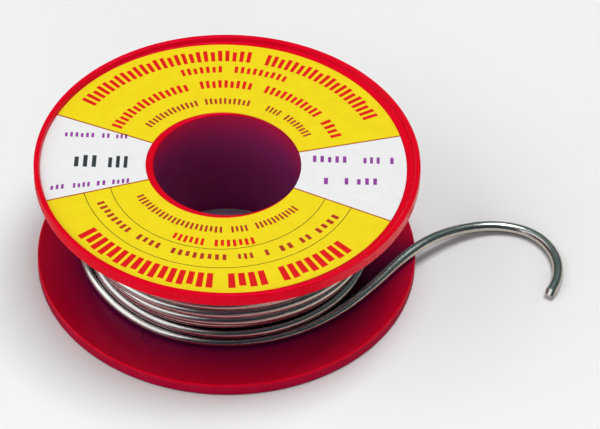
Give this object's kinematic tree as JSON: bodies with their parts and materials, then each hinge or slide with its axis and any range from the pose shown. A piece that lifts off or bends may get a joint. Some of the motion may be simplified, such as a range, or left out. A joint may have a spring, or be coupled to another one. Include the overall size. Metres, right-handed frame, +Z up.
{
  "type": "solder wire spool",
  "caption": "Flanged plastic reel lying flat, with a wide through bore, a printed paper ring in the recess of its upper flange, and soft-solder wire wound on its drum with a curled free end.",
  "frame": {"origin": "on the reel's axis, in the plane that the lower flange's bead stands on", "axes": "+Z up along the bore's axis, +X towards the side where the wire's free end leaves the reel"},
  "size_m": [0.0975, 0.07, 0.025],
  "materials": {
    "reel_plastic": "glossy red injection-moulded polystyrene",
    "label_paper": "coated paper printed yellow and white, satin",
    "solder": "drawn soft-solder wire, satin to bright, lightly tarnished"
  },
  "bodies": {
    "root": {"spool_body": "reel_plastic", "top_flange": "reel_plastic", "front_label": "label_paper", "solder_winding": "solder", "solder_tail": "solder"}
  },
  "joints": []
}
